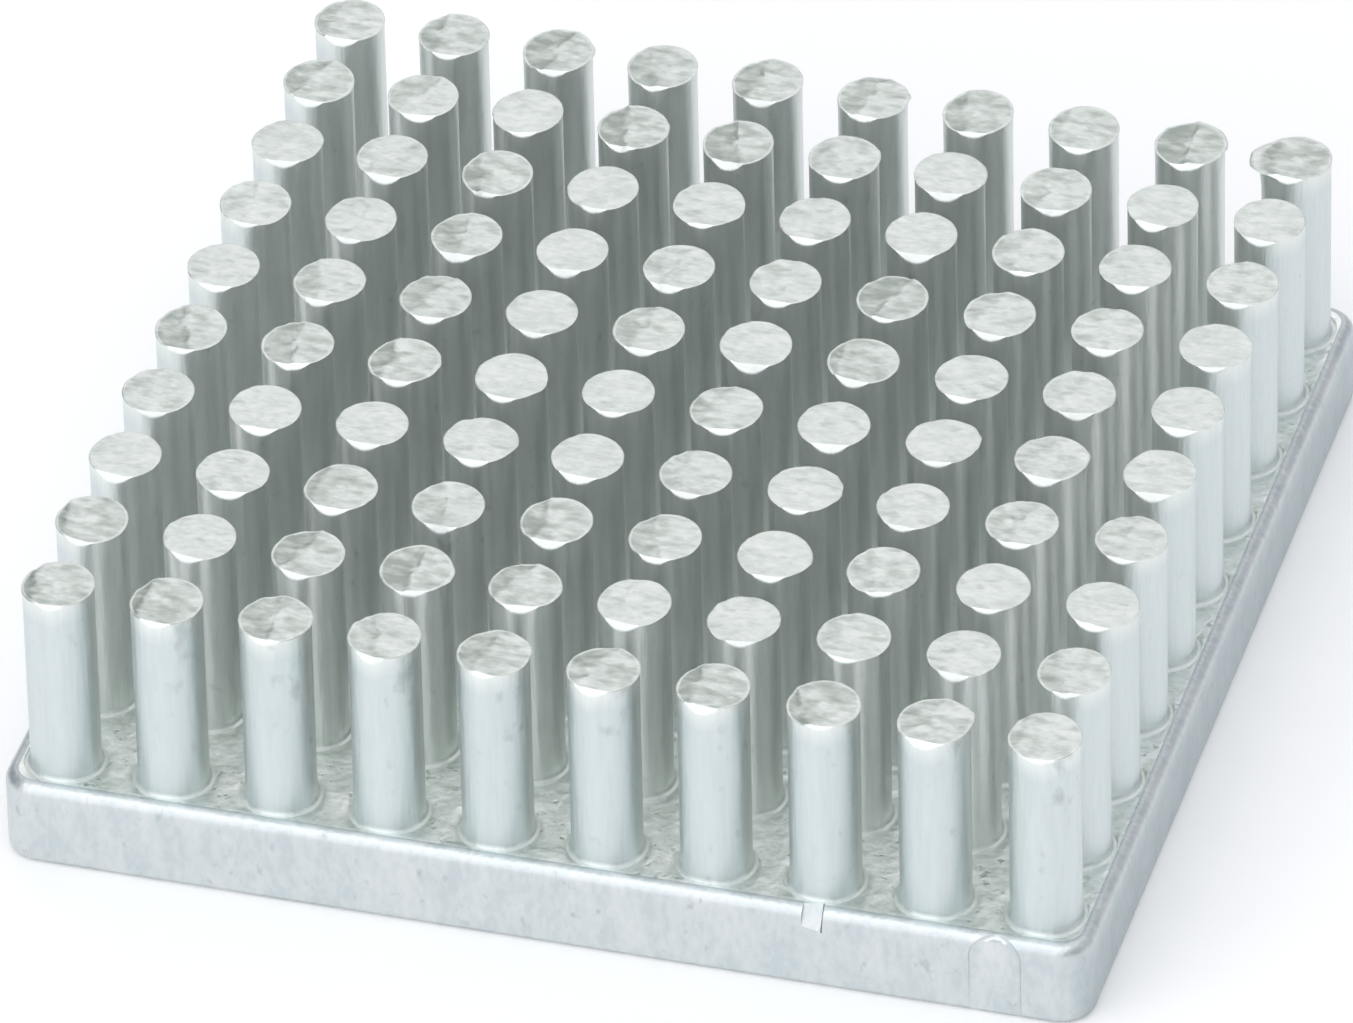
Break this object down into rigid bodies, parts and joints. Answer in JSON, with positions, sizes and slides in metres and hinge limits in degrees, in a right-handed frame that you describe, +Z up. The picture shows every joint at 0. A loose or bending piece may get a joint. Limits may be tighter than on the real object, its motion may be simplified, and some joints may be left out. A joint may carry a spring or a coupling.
{
  "type": "pin fin heat sink",
  "caption": "Square forged aluminium heat sink with a dense field of round pins on a plate that seats flat on a chip.",
  "frame": {"origin": "middle of the flat underside of the plate", "axes": "+Z up along the pins, away from the chip; +X and +Y along the sides of the plate, with -Y towards the side on which the pin tops are rolled over"},
  "size_m": [0.05, 0.05, 0.0139],
  "materials": {
    "forged_aluminium": "cold-forged, tumbled to a satin grey, with sheared pin tops"
  },
  "bodies": {
    "root": {"heat_sink": "forged_aluminium"}
  },
  "joints": []
}
